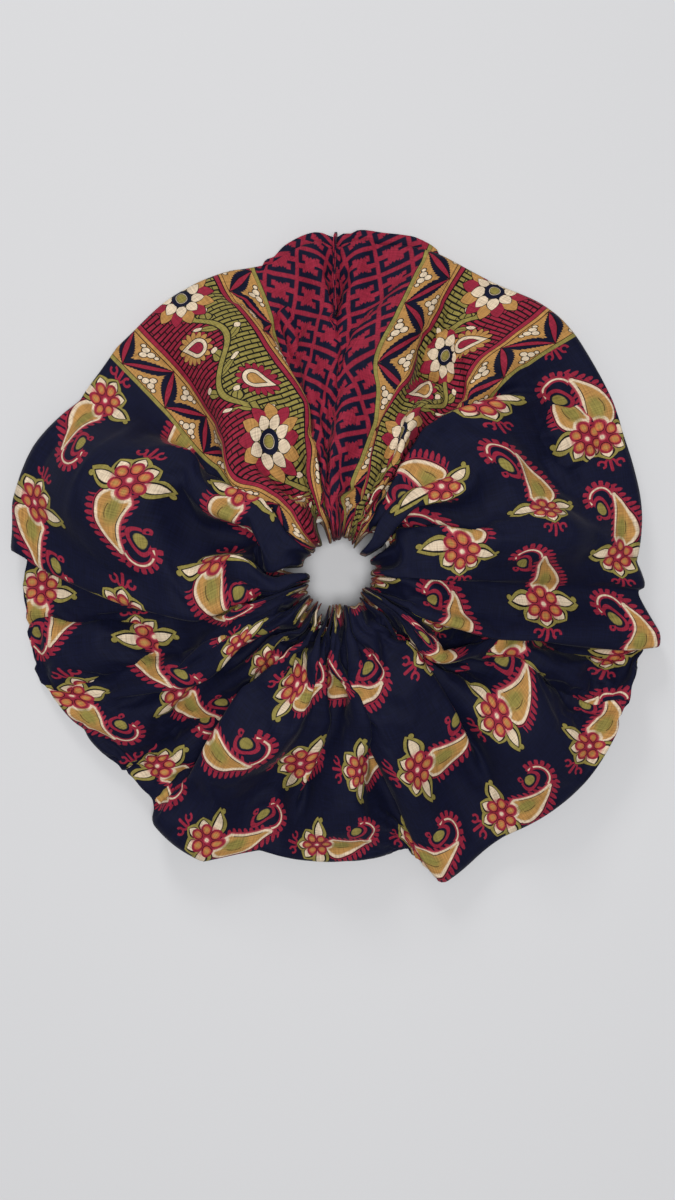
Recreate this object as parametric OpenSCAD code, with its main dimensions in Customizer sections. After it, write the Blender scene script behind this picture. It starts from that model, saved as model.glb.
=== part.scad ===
// Large fabric scrunchie: one printed cloth tube gathered on a short elastic loop.
//
// The cloth ring lies flat on Z = 0 with the hair opening on the Z axis. +Y points to
// the closing seam, where the two ends of the cloth tube are joined. The ring is drawn in
// a right and a left half, because pulling the opening wide moves the halves apart along X.
// Each half is four cover folds of one eighth of a turn, with the elastic, the turned-in
// seam edges and the threads inside.

/* [Ring] */
// Outside diameter of the resting ring
ring_d = 212; // [180:1:230]
// Diameter of the hair opening at rest
opening_d = 20; // [18:1:26]
// Height of the gathered cloth beside the opening
throat_h = 34; // [30:1:40]
// Height of the rim of the ring
rim_h = 16; // [12:1:20]

/* [Cloth] */
// Thickness that stands for the gathered layers of cloth
cover_wall = 1; // [0.8:0.1:1.4]
// Thickness of one turned-in cloth edge
edge_t = 0.8; // [0.5:0.1:1]
// Width of the turned-in edges along each seam
seam_allowance = 5; // [4:0.5:5]
// Width of the stitched lip that closes the turning opening
lip_w = 4; // [3:0.5:5]
// Angle of the right end of the lip, counted from +X
lip_start = 72; // [60:1:80]
// Angle of the left end of the lip, counted from +X
lip_end = 104; // [95:1:120]

/* [Elastic] */
// Radius of the relaxed elastic loop, at the middle of its thickness
elastic_r = 18; // [18:0.5:20]
// Width of the flat elastic
elastic_w = 8; // [6:0.5:10]
// Thickness of the flat elastic
elastic_t = 1.2; // [0.8:0.1:1.2]
// Length over which the two ends of the elastic lie on each other
elastic_lap = 12; // [8:1:14]
// Number of bar tacks across the lap
tack_count = 4; // [2:1:6]

/* [Thread] */
// Thickness of the sewing thread
thread_t = 0.35; // [0.25:0.05:0.4]
// Length of one stitch
stitch_len = 3; // [2:0.5:3]
// Distance from one stitch to the next
stitch_pitch = 4; // [4:0.5:6]

/* [Hidden] */
$fn = 96;

right = 1;              // side = +1 is the half that stays, side = -1 the half that moves
left = -1;
half_gap = 0.15;        // each half stands this far from the plane X = 0
fit_gap = 0.1;          // clearance of the inner pieces from the cover
fold_angle = 45;        // one cover fold
throat_r = throat_h / 2;
rim_r = rim_h / 2;
throat_c = opening_d / 2 + throat_r;    // radius at which the round of the throat is centred
lip_layers = 2 * edge_t;
lap_end = 82;           // the lap ends a little before the closing seam
lap_angle = elastic_lap / (elastic_r + elastic_t) * 180 / PI;

navy = "#1a1d33";
crimson = "#9c2740";
cream = "#e6dcc2";
white = "#f1efe9";

// Radius at which the round of the rim is centred, for a ring that ends at ring_r
function rim_c(ring_r) = ring_r - rim_r;

// Direction of the normal of the sloping top, which touches the throat and the rim rounds.
// The flat bottom touches both rounds too, so the top mirrors it in the line of centres.
function top_normal(ring_r) = 90 + 2 * atan2(rim_r - throat_r, rim_c(ring_r) - throat_c);

// One round of the outline, from angle a to angle b
function arc(c, r, a, b, steps) =
    [for (i = [0:steps]) let (t = a + (b - a) * i / steps) c + r * [cos(t), sin(t)]];

// Closed outline of the cloth tube, cut through the Z axis, drawn inset from the surface:
// round the throat from the floor, along the top and round the rim to the floor again.
function tube_outline(ring_r, inset) = concat(
    arc([throat_c, throat_r], throat_r - inset, 270, top_normal(ring_r), 16),
    arc([rim_c(ring_r), rim_r], rim_r - inset, top_normal(ring_r), -90, 12)
);

// Length of the sloping top between the two rounds
function top_length(ring_r) =
    let (run = norm([rim_c(ring_r) - throat_c, rim_r - throat_r]))
    sqrt(run * run - pow(throat_r - rim_r, 2));

// Length of the outline from the floor side of the throat to the floor side of the rim
function upper_length(ring_r, inset) =
    (throat_r - inset) * (270 - top_normal(ring_r)) * PI / 180 + top_length(ring_r)
    + (rim_r - inset) * (top_normal(ring_r) + 90) * PI / 180;

// Point and heading at distance s along the same outline
function tube_point(ring_r, inset, s) =
    let (
        top = top_normal(ring_r),
        throat = throat_r - inset,
        rim = rim_r - inset,
        throat_len = throat * (270 - top) * PI / 180,
        past_throat = s - throat_len,
        past_top = past_throat - top_length(ring_r)
    )
    past_throat < 0
        ? let (a = 270 - s / throat * 180 / PI)
            [[throat_c, throat_r] + throat * [cos(a), sin(a)], a - 90]
    : past_top < 0
        ? [[throat_c, throat_r] + throat * [cos(top), sin(top)]
            + past_throat * [sin(top), -cos(top)], top - 90]
    : let (a = top - past_top / rim * 180 / PI)
        [[rim_c(ring_r), rim_r] + rim * [cos(a), sin(a)], a - 90];

// Radius of the ring where the cloth ends in the lip of the turning opening
function lip_ring_r() = ring_d / 2 - lip_w;

// Puts what is drawn on the X = 0 plane into the half on the given side
module half(side) {
    translate([side * half_gap, 0, 0]) children();
}

// A turn of a profile from angle a to angle b, counted from +X
module turn(a, b) {
    rotate([0, 0, a]) rotate_extrude(angle = b - a) children();
}

// One fold of the cover: a hollow eighth of the ring that starts at the given angle
module cover_fold(side, start, ring_r) {
    half(side) turn(start, start + fold_angle) difference() {
        polygon(tube_outline(ring_r, 0));
        polygon(tube_outline(ring_r, cover_wall));
    }
}

module cover_top_right() { color(crimson) cover_fold(right, 45, lip_ring_r()); }
module cover_upper_right() { color(navy) cover_fold(right, 0, ring_d / 2); }
module cover_lower_right() { color(navy) cover_fold(right, -45, ring_d / 2); }
module cover_bottom_right() { color(navy) cover_fold(right, -90, ring_d / 2); }
module cover_top_left() { color(crimson) cover_fold(left, 90, lip_ring_r()); }
module cover_upper_left() { color(navy) cover_fold(left, 135, ring_d / 2); }
module cover_lower_left() { color(navy) cover_fold(left, 180, ring_d / 2); }
module cover_bottom_left() { color(navy) cover_fold(left, 225, ring_d / 2); }

// Half of the flat elastic loop, at mid height in the throat. The right half also carries
// the end that is lapped over the outside of the loop.
module elastic_half(side) {
    half(side) union() {
        turn(side > 0 ? -90 : 90, side > 0 ? 90 : 270)
            translate([elastic_r - elastic_t / 2, throat_r - elastic_w / 2])
                square([elastic_t, elastic_w]);
        if (side > 0) turn(lap_end - lap_angle, lap_end)
            translate([elastic_r, throat_r - elastic_w / 2])
                square([1.5 * elastic_t, elastic_w]);
    }
}

module elastic_right() { color(white) elastic_half(right); }
module elastic_left() { color(white) elastic_half(left); }

// Bar tacks that hold the lap, on its outer face
module elastic_lap_tacks() {
    tack_h = elastic_w * 0.75;
    color(cream) half(right) for (i = [0.5:tack_count - 0.5])
        rotate([0, 0, lap_end - lap_angle * i / tack_count])
            translate([elastic_r + 1.5 * elastic_t + fit_gap, -thread_t, throat_r - tack_h / 2])
                cube([thread_t, 2 * thread_t, tack_h]);
}

// Cut end of the cloth, turned in along the closing seam: a frame round the whole tube
module closing_seam_edge(side) {
    inner = cover_wall + fit_gap;
    half(side) rotate([90, 0, 90]) translate([0, 0, side > 0 ? 0 : -edge_t])
        linear_extrude(edge_t) difference() {
            polygon(tube_outline(lip_ring_r(), inner));
            polygon(tube_outline(lip_ring_r(), inner + seam_allowance));
        }
}

module closing_seam_edge_right() { color(crimson) closing_seam_edge(right); }
module closing_seam_edge_left() { color(crimson) closing_seam_edge(left); }

// Thread of the closing seam, where it shows on the right turned-in edge
module closing_seam_thread() {
    seam_inset = cover_wall + fit_gap + 1;
    last = floor(upper_length(lip_ring_r(), seam_inset) / stitch_pitch) - 1;
    color(navy) half(right) for (i = [0:last])
        let (place = tube_point(lip_ring_r(), seam_inset, (i + 0.5) * stitch_pitch))
            translate([edge_t, place[0][0], place[0][1]]) rotate([place[1], 0, 0])
                translate([0, -stitch_len / 2, -thread_t / 2])
                    cube([thread_t, stitch_len, thread_t]);
}

// Long edges of the cloth, laid together and turned in along the rim. Under the lip of
// the turning opening they stand out of the cover instead.
module rim_seam_edge(side) {
    inner_r = ring_d / 2 - cover_wall - fit_gap - seam_allowance;
    half(side) turn(side > 0 ? -90 : 135, side > 0 ? 45 : 270)
        translate([inner_r, rim_r - edge_t])
            square([seam_allowance, lip_layers]);
}

module rim_seam_edge_right() { color(navy) rim_seam_edge(right); }
module rim_seam_edge_left() { color(navy) rim_seam_edge(left); }

// A row of stitches of one thread, on a circle of radius r at height z
module stitch_row(r, z, a, b) {
    step = stitch_pitch / r * 180 / PI;
    for (t = [a + step / 2:step:b - step / 2])
        rotate([0, 0, t]) translate([r - thread_t / 2, -stitch_len / 2, z])
            cube([thread_t, stitch_len, thread_t]);
}

module rim_seam_thread(side) {
    seam_r = ring_d / 2 - cover_wall - fit_gap - 1.5;
    half(side) stitch_row(seam_r, rim_r + edge_t, side > 0 ? -90 : 135, side > 0 ? 45 : 270);
}

module rim_seam_thread_right() { color(navy) rim_seam_thread(right); }
module rim_seam_thread_left() { color(navy) rim_seam_thread(left); }

// Lip of the turning opening: both long edges of the cloth turned in and laid together
module opening_lip(side) {
    half(side) turn(side > 0 ? lip_start : 90, side > 0 ? 90 : lip_end)
        translate([lip_ring_r() + fit_gap, rim_r - edge_t])
            square([lip_w - fit_gap, lip_layers]);
}

module opening_lip_right() { color(crimson) opening_lip(right); }
module opening_lip_left() { color(crimson) opening_lip(left); }

// Light thread that closes the lip, along its middle
module opening_topstitch(side) {
    half(side) stitch_row(lip_ring_r() + lip_w / 2, rim_r + edge_t,
        side > 0 ? lip_start : 90, side > 0 ? 90 : lip_end);
}

module opening_topstitch_right() { color(cream) opening_topstitch(right); }
module opening_topstitch_left() { color(cream) opening_topstitch(left); }

cover_top_right();
cover_upper_right();
cover_lower_right();
cover_bottom_right();
cover_top_left();
cover_upper_left();
cover_lower_left();
cover_bottom_left();
elastic_right();
elastic_left();
elastic_lap_tacks();
closing_seam_edge_right();
closing_seam_edge_left();
closing_seam_thread();
rim_seam_edge_right();
rim_seam_edge_left();
rim_seam_thread_right();
rim_seam_thread_left();
opening_lip_right();
opening_lip_left();
opening_topstitch_right();
opening_topstitch_left();
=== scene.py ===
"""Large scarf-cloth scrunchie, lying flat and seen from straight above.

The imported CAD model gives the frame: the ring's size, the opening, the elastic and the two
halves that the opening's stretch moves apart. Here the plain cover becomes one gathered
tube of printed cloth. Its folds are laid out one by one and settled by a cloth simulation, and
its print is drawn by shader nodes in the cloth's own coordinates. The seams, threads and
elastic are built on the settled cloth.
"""
import math
from functools import partialmethod

import bpy
import numpy as np
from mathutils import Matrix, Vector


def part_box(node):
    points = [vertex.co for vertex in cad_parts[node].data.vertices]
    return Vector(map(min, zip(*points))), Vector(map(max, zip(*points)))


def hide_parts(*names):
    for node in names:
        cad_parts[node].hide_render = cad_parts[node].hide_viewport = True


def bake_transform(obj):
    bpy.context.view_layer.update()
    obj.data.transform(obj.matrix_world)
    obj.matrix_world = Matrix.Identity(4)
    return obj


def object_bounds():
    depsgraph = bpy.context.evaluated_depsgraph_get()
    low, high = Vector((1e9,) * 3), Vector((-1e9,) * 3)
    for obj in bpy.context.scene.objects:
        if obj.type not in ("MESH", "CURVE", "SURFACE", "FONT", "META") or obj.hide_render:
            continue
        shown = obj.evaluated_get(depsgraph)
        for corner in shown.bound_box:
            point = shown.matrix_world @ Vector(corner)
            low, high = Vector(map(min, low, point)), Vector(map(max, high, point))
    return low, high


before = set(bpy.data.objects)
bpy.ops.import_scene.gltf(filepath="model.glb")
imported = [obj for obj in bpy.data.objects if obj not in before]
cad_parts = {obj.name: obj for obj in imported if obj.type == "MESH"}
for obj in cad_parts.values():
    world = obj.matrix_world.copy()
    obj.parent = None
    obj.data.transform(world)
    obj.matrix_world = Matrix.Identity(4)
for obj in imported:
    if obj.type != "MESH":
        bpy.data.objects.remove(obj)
cad_box = [list(corner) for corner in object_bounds()]

MM = 0.001
DEGREE = math.pi / 180

# ---------------------------------------------------------------- sizes from the frame, mm
RING_R = cad_box[1][0] / MM
THROAT_R = cad_box[1][2] / MM / 2
RIM_EDGE_HALF = 0.8     # half the thickness of the CAD rim seam edge
COVER_AND_GAP = 1.1     # the CAD cover's wall and the gap inside it
HALF_GAP = 0.15         # how far each CAD half stands off X = 0
ELASTIC_T = 1.2
RIM_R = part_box("rim_seam_edge_left")[0].z / MM + RIM_EDGE_HALF
OPENING_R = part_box("closing_seam_edge_right")[0].y / MM - COVER_AND_GAP
ELASTIC_BOX = [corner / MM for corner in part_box("elastic_left")]
ELASTIC_R = -ELASTIC_BOX[0].x - HALF_GAP - ELASTIC_T / 2
ELASTIC_Z = (ELASTIC_BOX[0].z + ELASTIC_BOX[1].z) / 2
ELASTIC_W = ELASTIC_BOX[1].z - ELASTIC_BOX[0].z

# The cloth before it was gathered: its length round the ring. Its girth round the tube
# follows from the section. Cloth coordinates are u, along the cloth from the closing seam
# over the left side, and v, from the rim over the top to the throat and back below.
CLOTH_LENGTH = 720.0
COLUMNS = 300
ROWS = 84


# ---------------------------------------------------------------- helpers for the scene
def link(item):
    bpy.context.scene.collection.objects.link(item)
    return item


def set_all(thing, **values):
    for name, value in values.items():
        setattr(thing, name, value)


def level_square(name, half):
    """A square at height 0."""
    mesh = bpy.data.meshes.new(name)
    mesh.from_pydata([(-half, -half, 0), (half, -half, 0), (half, half, 0), (-half, half, 0)],
                     [], [(0, 1, 2, 3)])
    return link(bpy.data.objects.new(name, mesh))


def new_material(name, inputs):
    """A material and its shader, with constants on the shader's own sockets."""
    material = bpy.data.materials.new(name)
    material.use_nodes = True
    shader = material.node_tree.nodes["Principled BSDF"]
    for socket, value in inputs.items():
        shader.inputs[socket].default_value = value
    return material, shader


# ---------------------------------------------------------------- camera, light and floor
CAMERA_PLACE = (0.0, -0.0084, 0.551)
FLOOR_HALF = 8.0


def make_camera():
    """Straight above the ring, framed as the photograph frames it."""
    data = bpy.data.cameras.new("camera")
    data.lens = 50
    data.sensor_width = 36
    camera = link(bpy.data.objects.new("camera", data))
    camera.location = CAMERA_PLACE
    bpy.context.scene.camera = camera


def area_light(name, location, size, energy, colour):
    """Square soft light that faces the ring."""
    data = bpy.data.lights.new(name, "AREA")
    set_all(data, shape="SQUARE", size=size, energy=energy, color=colour)
    lamp = link(bpy.data.objects.new(name, data))
    lamp.location = location
    lamp.rotation_euler = (-lamp.location).to_track_quat("-Z", "Y").to_euler()


def make_studio():
    """Pale floor under a large overhead light, with a key light from the upper right."""
    world = bpy.data.worlds.new("studio")
    bpy.context.scene.world = world
    world.use_nodes = True
    background = world.node_tree.nodes["Background"]
    background.inputs["Color"].default_value = (0.98, 0.98, 1.0, 1)
    background.inputs["Strength"].default_value = 0.26
    area_light("overhead", (0.02, -0.12, 1.7), 0.5, 19.0, (0.99, 0.995, 1.0))
    area_light("key", (-0.3, 1.0, 0.55), 0.3, 3.6, (1.0, 0.99, 0.98))
    bpy.context.scene.view_settings.view_transform = "Standard"

    floor = level_square("floor", FLOOR_HALF)
    material, _ = new_material("floor", {"Base Color": (0.66, 0.66, 0.67, 1), "Roughness": 0.6})
    floor.data.materials.append(material)


# ---------------------------------------------------------------- the gathered cloth tube
def between(r, *points):
    """Straight lines between (radius, value) points, for each radius in r."""
    radii, values = zip(*points)
    return np.interp(r, radii, values)


class Section:
    """Cut through the tube that the middle of the cloth's folds follows, one row at a time.

    Row 0 is on the outermost line of the rim, and the rows run over the top, down the
    throat and back under the ring.
    """

    def __init__(self, at_throat, at_rim):
        """Each inset is how far inside the CAD cover the middle of the folds runs there."""
        throat, rim = THROAT_R - at_throat, RIM_R - at_rim
        throat_c = np.array([OPENING_R + THROAT_R, THROAT_R])
        rim_c = np.array([RING_R - RIM_R, RIM_R])
        line = rim_c - throat_c
        length = np.hypot(*line)
        heading = math.atan2(line[1], line[0])
        spread = math.acos((throat - rim) / length)
        top, low = heading + spread, heading - spread
        side = math.sqrt(length ** 2 - (throat - rim) ** 2)
        ends = np.cumsum([rim * top, side, throat * (2 * math.pi - 2 * spread), side, rim * -low])
        self.girth = ends[-1]
        s = np.arange(ROWS) / ROWS * self.girth
        part = np.searchsorted(ends, s, side="right")
        start = np.concatenate([[0], ends])[part]
        along = s - start
        angle = np.choose(part, [along / rim, np.full(ROWS, top), top + along / throat,
                                 np.full(ROWS, low), low + along / rim])
        self.normal = np.stack([np.cos(angle), np.sin(angle)], 1)
        forward = np.stack([-np.sin(angle), np.cos(angle)], 1)
        round_c = np.where(np.isin(part, [0, 4])[:, None], rim_c, throat_c)
        round_r = np.where(np.isin(part, [0, 4]), rim, throat)[:, None]
        point = round_c + round_r * self.normal
        from_rim = rim_c + rim * self.normal + along[:, None] * forward
        from_throat = throat_c + throat * self.normal + along[:, None] * forward
        point = np.where((part == 1)[:, None], from_rim, point)
        point = np.where((part == 3)[:, None], from_throat, point)
        self.r, self.z, self.s = point[:, 0], point[:, 1], s


# Large folds, in order round the ring from the closing seam over the left side:
# (place along the cloth in mm, angle from the seam at the rim and at the throat,
#  which side lies on top: +1 the side before the fold, -1 the side after it,
#  how deep the fold is at the rim, half way and near the throat; a fold that is below 0 at
#  the rim starts part of the way in)
FOLDS = [(36, 19, 10, -1, 0.3, 0.9, 0.9), (92, 50, 54, -1, -0.5, 0.3, 0.8),
    (165, 85, 103, 1, 1.0, 1.0, 1.0),
    (231, 118, 127, 1, -0.2, 0.8, 0.9),
    (284, 143, 150, -1, 0.8, 1.0, 0.9),
    (338, 170, 171, 1, -0.4, 0.8, 0.9),
    (396, 198, 190, -1, 0.9, 1.0, 0.9),
    (434, 214, 222, 1, -0.3, 1.0, 0.9),
    (522, 259, 242, -1, 1.0, 1.0, 0.9),
    (546, 268, 268, -1, 0.6, 0.6, 0.6),
    (628, 311, 326, 1, -0.7, 1.0, 1.0),
    (681, 339, 345, 1, -0.5, 0.4, 0.8),]

# Gathers between the large folds: how many to a fold, how uneven they are, and how strong
# they are by radius
GATHERS = [(3, 1.2, [(10, 1.0), (18, 0.8), (28, 0.2), (40, 0.0)]),
    (2, 1.0, [(12, 0.5), (20, 0.9), (34, 0.8), (48, 0.3), (60, 0.0)]),
    (2, 1.3, [(20, 0.1), (34, 0.5), (50, 0.8), (70, 0.3), (90, 0.0)]),
    (1, 0.5, [(30, 0.0), (50, 0.6), (75, 1.0), (112, 1.0)]),]

# Most that a gather's heading may swing, in radians, by radius
WAVE_LIMIT = [(10, 1.1), (16, 1.5), (24, 1.9), (54, 1.9), (68, 1.4), (82, 0.7), (98, 0.15)]

# Outer line of the ring from above: (angle from the seam, radius in mm)
RIM_LINE = [(0, 110), (12, 106), (28, 104), (44, 104.5), (56, 99), (66, 103.5), (77, 106.5), (85, 104),
    (97, 106), (108, 108), (121, 97.5), (142, 98), (155, 103), (164, 94.5), (181, 93), (193, 95),
    (199, 104), (212, 102), (234, 104.5), (252, 106), (261, 106), (273, 95), (292, 104),
    (302, 108), (324, 110), (345, 108.5), (353, 109),]

# Height above which the gathers are pressed down, and how far from the opening's edge the
# hollows between them are filled
TOP_Z = 32.0
CROWDED = 6.0

# How finely the folds are worked out: steps between two columns, and halvings in the search
# for how strong the gathers are
FINE = 8
HALVINGS = 18
# The longest stretch of cloth that a large fold turns back, in mm, and how far the cloth's
# heading dives on the two sides of the closing seam, in radians
MOST_DEPTH = 22.0
LEFT_DIVE, RIGHT_DIVE = 1.15, 1.25
# The ring's outline draws the cloth out or in beyond this radius only
HELD_R = OPENING_R + 12


def running_sum(values, step):
    """Trapezium sum along the cloth, starting at 0."""
    part = (values[:, 1:] + values[:, :-1]) * 0.5 * step
    return np.concatenate([np.zeros((len(values), 1)), np.cumsum(part, 1)], 1)


def soft_step(x, width):
    return 0.5 * (1 + np.tanh(x / width))


def smooth_along(rows, reach):
    """Each row averaged along the cloth over the given number of points to each side."""
    kernel = np.hanning(2 * reach + 3)[1:-1]
    kernel /= kernel.sum()
    ahead, behind = rows[:, 1:reach + 1], rows[:, -reach - 1:-1]
    padded = np.concatenate([behind, rows, ahead], 1)
    return np.stack([np.convolve(row, kernel, "valid") for row in padded])


def fold_cloth(section):
    """Angle round the ring and height off the section of each cloth point, row by row.

    At each row the cloth runs round the ring as a folded line that keeps its length. Its
    heading swings through half a turn and back at a large fold and to and fro in the
    gathers, just enough to bring the folds to their places.
    """
    rng = np.random.default_rng(7)
    count = COLUMNS * FINE
    u = np.arange(count + 1) / count * CLOTH_LENGTH
    step = u[1]
    place, at_rim, at_throat, side, *deep = np.array(FOLDS, float).T
    r = section.r
    stops = np.concatenate([[0], place, [CLOTH_LENGTH]])
    stop_index = np.round(stops / step).astype(int)
    stretch = np.clip(np.searchsorted(stops, u, side="right") - 1, 0, len(place))

    inner = np.clip((RING_R - 4 - r) / (RING_R - 22), 0, 1)[:, None]
    angle = np.radians(np.pad(at_rim + (at_throat - at_rim) * inner, ((0, 0), (1, 1)),
                              constant_values=((0, 0), (0, 360))))
    room = np.diff(angle, axis=1) * r[:, None]
    excess = np.clip(np.diff(stops) - room, 0, None)

    # Depth of each large fold: what has to be hidden beside it, where there is room for it
    keen = np.stack([between(r, (24, c), (58, b), (RING_R - 3, a)) for a, b, c in zip(*deep)], 1)
    keen = np.clip(keen, 0, 1)
    most = between(r, (12, 0.0), (18, 0.2), (26, 0.55), (36, 0.85), (110, 0.9))[:, None]
    spare = np.minimum(excess[:, :-1], excess[:, 1:]) * 0.5
    fits = np.minimum(room[:, :-1], room[:, 1:]) * most
    depth = keen * np.clip(np.minimum(spare, fits), 0, MOST_DEPTH)
    bend = between(r, (14, 0.8), (40, 2.0), (75, 2.4), (110, 1.6))[:, None]
    heading = np.zeros((len(r), count + 1))
    calm = np.ones_like(heading)
    for i, way in enumerate(side):
        off = u - place[i]
        half = depth[:, i:i + 1] / 2
        heading -= way * math.pi * (soft_step(off + half, bend) - soft_step(off - half, bend))
        calm *= 1 - soft_step(2.6 * half - abs(off), 2.5) * np.clip(half / 2, 0, 1)

    # The crease at the closing seam, where both sides dive inward
    dive = between(r, (12, 0.5), (30, 1.0), (70, 1.0), (92, 0.6), (104, 0.2))[:, None]
    reach = between(r, (12, 4), (40, 9), (80, 12), (104, 8))[:, None]
    heading += LEFT_DIVE * dive * soft_step(reach - u, 2.5)
    heading -= RIGHT_DIVE * dive * soft_step(reach - (CLOTH_LENGTH - u), 2.5)

    number = smooth_along(np.interp(u, stops, np.arange(len(stops)))[None], int(10 / step))[0]
    number[:20], number[-20:] = number[20], number[-21]
    turn = 2 * math.pi * u / CLOTH_LENGTH
    wave = np.zeros_like(heading)
    for per_fold, uneven, strength in GATHERS:
        drift = sum(uneven / k ** 0.6 * np.sin(k * turn + rng.uniform(0, 6.28)) for k in range(2, 12))
        wave += between(r, *strength)[:, None] * np.cos(2 * math.pi * per_fold * number + drift)
    wave /= np.sqrt(2 * (wave ** 2).mean(1, keepdims=True))
    wave *= calm

    # How strong the gathers are in each stretch, found by halving
    low = np.zeros((len(r), len(stops) - 1))
    high = np.ones_like(low) * between(r, *WAVE_LIMIT)[:, None]
    for _ in range(HALVINGS):
        middle = (low + high) / 2
        run = running_sum(np.cos(heading + middle[:, stretch] * wave), step)
        too_long = np.diff(run[:, stop_index], axis=1) > room
        low = np.where(too_long, middle, low)
        high = np.where(too_long, high, middle)
    strength = smooth_along(((low + high) / 2)[:, stretch], int(9 / step))
    heading += strength * wave

    run = running_sum(np.cos(heading), step)
    height = running_sum(np.sin(heading), step)
    crease = -between(r, (12, 1.5), (40, 7), (80, 9), (98, 4), (104, 2.5))
    got = np.diff(run[:, stop_index], axis=1)
    for i, row_angle in enumerate(angle):
        squeeze = room[i] / np.maximum(got[i], 1e-3)
        local = run[i] - run[i, stop_index[stretch]]
        run[i] = row_angle[stretch] * r[i] + local * np.clip(squeeze, 0.05, 1.4)[stretch]
        level = np.zeros(len(stops))
        level[[0, -1]] = crease[i]
        height[i] += np.interp(u, stops, level - height[i, stop_index])
    return run[:, :-1:FINE] / r[:, None], height[:, :-1:FINE]


def place_cloth(section, angle, height):
    """Points of the cloth in mm: rows round the tube by columns round the ring."""
    r = section.r[:, None] + section.normal[:, :1] * height
    z = section.z[:, None] + section.normal[:, 1:] * height
    degrees, radii = np.array(RIM_LINE).T
    line = np.interp(np.degrees(angle) % 360, np.append(degrees, 360), np.append(radii, radii[0]))
    drawn_out = HELD_R + (r - HELD_R) * (line - HELD_R) / (section.r.max() - HELD_R)
    r = np.where(r > HELD_R, drawn_out, r)
    # The gathers crowd against each other round the opening, and at the top of the throat
    edge = OPENING_R + 0.6 + 0.8 * np.cos(5 * angle + 0.6) + 0.5 * np.cos(8 * angle + 2.0)
    past = np.clip(r - edge, 0, CROWDED)
    r = np.where(r < edge, edge - (edge - r) * 0.1, r - past + past ** 2 / CROWDED)
    z = np.where(z > TOP_Z, TOP_Z + (z - TOP_Z) * 0.3, z)
    angle = angle + math.pi / 2
    return np.stack([r * np.cos(angle), r * np.sin(angle), z], -1)


# ---------------------------------------------------------------- settling by simulation
SIM_SCALE = 10
SETTLE_FRAMES = 20
CONTACT = 0.004     # how near two surfaces may come, in m at the simulation's scale
MOST_MOVE = 9.0     # the most that the simulation may move a point, in mm


def torus_faces(rows, columns):
    """Quads of a grid of points that closes both ways."""
    row, column = np.meshgrid(np.arange(rows), np.arange(columns), indexing="ij")
    next_row, next_column = (row + 1) % rows, (column + 1) % columns
    corners = [row * columns + column, row * columns + next_column,
               next_row * columns + next_column, next_row * columns + column]
    return np.stack(corners, -1).reshape(-1, 4)


def settle(points):
    """The folded cloth after a cloth simulation has let it settle on the floor.

    The simulation runs ten times larger than life, where its contact distances fit. The
    gathers on the elastic are held, and the cloth's rest shape is the folded one.
    """
    scene = bpy.context.scene
    size = MM * SIM_SCALE
    mesh = bpy.data.meshes.new("settling_cloth")
    mesh.from_pydata((points.reshape(-1, 3) * size).tolist(), [], torus_faces(ROWS, COLUMNS).tolist())
    cloth = link(bpy.data.objects.new("settling_cloth", mesh))
    pins = cloth.vertex_groups.new(name="throat")
    radius = np.hypot(points[..., 0], points[..., 1]).reshape(-1)
    hold = np.clip((OPENING_R + 8 - radius) / 6, 0, 1)
    for weight in (0.25, 0.5, 0.75, 1.0):
        chosen = np.flatnonzero((hold > weight - 0.25) & (hold <= weight))
        pins.add(chosen.tolist(), weight, "REPLACE")

    ground = level_square("settling_floor", 3)
    ground.modifiers.new("collision", "COLLISION")
    ground.collision.thickness_outer = CONTACT

    modifier = cloth.modifiers.new("cloth", "CLOTH")
    set_all(modifier.settings, quality=5, mass=0.01, tension_stiffness=30,
            compression_stiffness=30, shear_stiffness=5, bending_stiffness=0.2,
            tension_damping=4, compression_damping=4, shear_damping=4, bending_damping=1,
            air_damping=3, vertex_group_mass="throat", pin_stiffness=5)
    modifier.settings.effector_weights.gravity = 1.0
    set_all(modifier.collision_settings, collision_quality=2, distance_min=CONTACT,
            use_self_collision=True, self_distance_min=CONTACT, self_impulse_clamp=0.005,
            self_friction=0)
    set_all(modifier.point_cache, frame_start=1, frame_end=SETTLE_FRAMES)
    for frame_number in range(1, SETTLE_FRAMES + 1):
        scene.frame_set(frame_number)
    settled = cloth.evaluated_get(bpy.context.evaluated_depsgraph_get())
    out = np.empty(points.size, np.float32)
    settled.data.vertices.foreach_get("co", out)
    for thing in (cloth, ground):
        bpy.data.objects.remove(thing)
    scene.frame_set(1)
    move = out.reshape(points.shape) / size - points
    far = np.linalg.norm(move, axis=-1, keepdims=True)
    settled_points = points + move * np.minimum(1, MOST_MOVE / np.maximum(far, 1e-6))
    return kept_wide(settled_points, points)


def kept_wide(points, wanted):
    """The points drawn out from the opening so that the ring keeps the wanted outline."""
    reach, wanted_reach = (np.hypot(p[..., 0], p[..., 1]).max(0) for p in (points, wanted))
    ratio = smooth_along(((wanted_reach - HELD_R) / (reach - HELD_R))[None], 4)[0]
    radius = np.hypot(points[..., 0], points[..., 1])
    drawn = np.where(radius > HELD_R, HELD_R + (radius - HELD_R) * ratio, radius) / radius
    return points * np.stack([drawn, drawn, np.ones_like(drawn)], -1)


def doubled(grid, axis):
    """The closed grid with a point added half way between each two, on a smooth curve."""
    before, after, beyond = (np.roll(grid, shift, axis) for shift in (1, -1, -2))
    between_points = (9 * (grid + after) - before - beyond) / 16
    both_sets = np.stack([grid, between_points], axis + 1)
    shape = list(grid.shape)
    shape[axis] *= 2
    return both_sets.reshape(shape)


def unit(vectors):
    return vectors / np.maximum(np.linalg.norm(vectors, axis=-1, keepdims=True), 1e-9)


def step_past(points, axis=0, steps=1):
    """From the point before each point of a closed line or grid to the point after it."""
    return np.roll(points, -steps, axis) - np.roll(points, steps, axis)


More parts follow.
